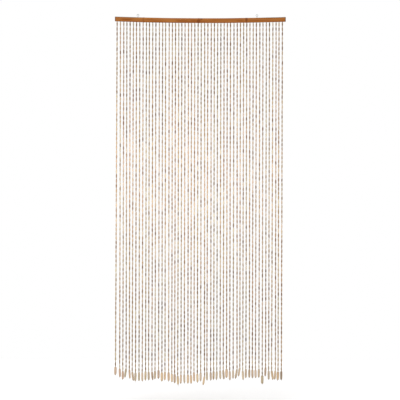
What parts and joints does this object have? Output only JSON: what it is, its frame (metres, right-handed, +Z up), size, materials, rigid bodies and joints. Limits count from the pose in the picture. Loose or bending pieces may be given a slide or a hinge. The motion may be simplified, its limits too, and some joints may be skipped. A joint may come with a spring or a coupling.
{
  "type": "bead curtain and hanging rail",
  "caption": "Doorway curtain of hanging bead strands with long end drops, on a slim bowed wooden rail with two screw eyes.",
  "frame": {"origin": "midway along the rail, at the height where the hooks bear inside the two screw eyes", "axes": "+Z up, the strands hang towards -Z; X along the rail; the front faces -Y and the rail's flat back +Y"},
  "size_m": [0.922, 0.0136, 2.0008],
  "materials": {
    "rail_wood": "orange-brown varnished lath, satin",
    "bead_wood": "unvarnished taupe wood, matt",
    "eye_wire": "dull zinc wire"
  },
  "bodies": {
    "root": {"rail": "rail_wood", "bead_strands": "bead_wood", "screw_eye_left": "eye_wire", "screw_eye_right": "eye_wire"}
  },
  "joints": []
}
